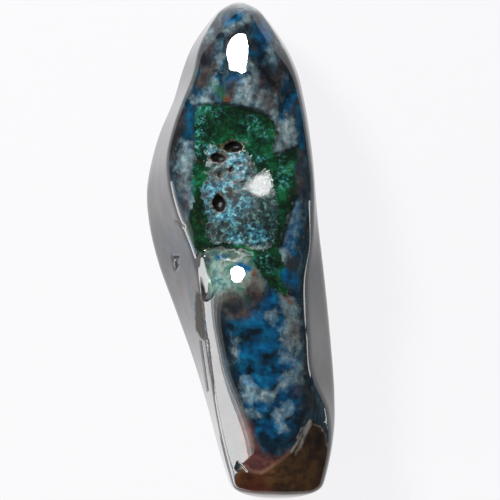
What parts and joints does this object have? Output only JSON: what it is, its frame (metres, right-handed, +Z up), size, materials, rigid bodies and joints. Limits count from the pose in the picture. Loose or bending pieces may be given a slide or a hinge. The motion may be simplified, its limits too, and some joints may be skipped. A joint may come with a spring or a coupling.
{
  "type": "polished chrysocolla stone",
  "caption": "Freeform polished copper-mineral stone, long and high-domed, with a pitted green and blue front, steep glossy flanks, a hollow facet at the foot and a ground flat back",
  "frame": {"origin": "middle of the stone's footprint, on the surface it rests on", "axes": "+Y along the stone's length towards its narrow tip, +Z up out of the patterned front, +X to the right of the front seen from above with the tip away from the viewer"},
  "size_m": [0.0152, 0.0398, 0.0142],
  "materials": {
    "polished_stone": "high lapidary polish over azurite blue, malachite green, turquoise druse, pale quartz and rusty matrix"
  },
  "bodies": {
    "root": {"chrysocolla": "polished_stone"}
  },
  "joints": []
}
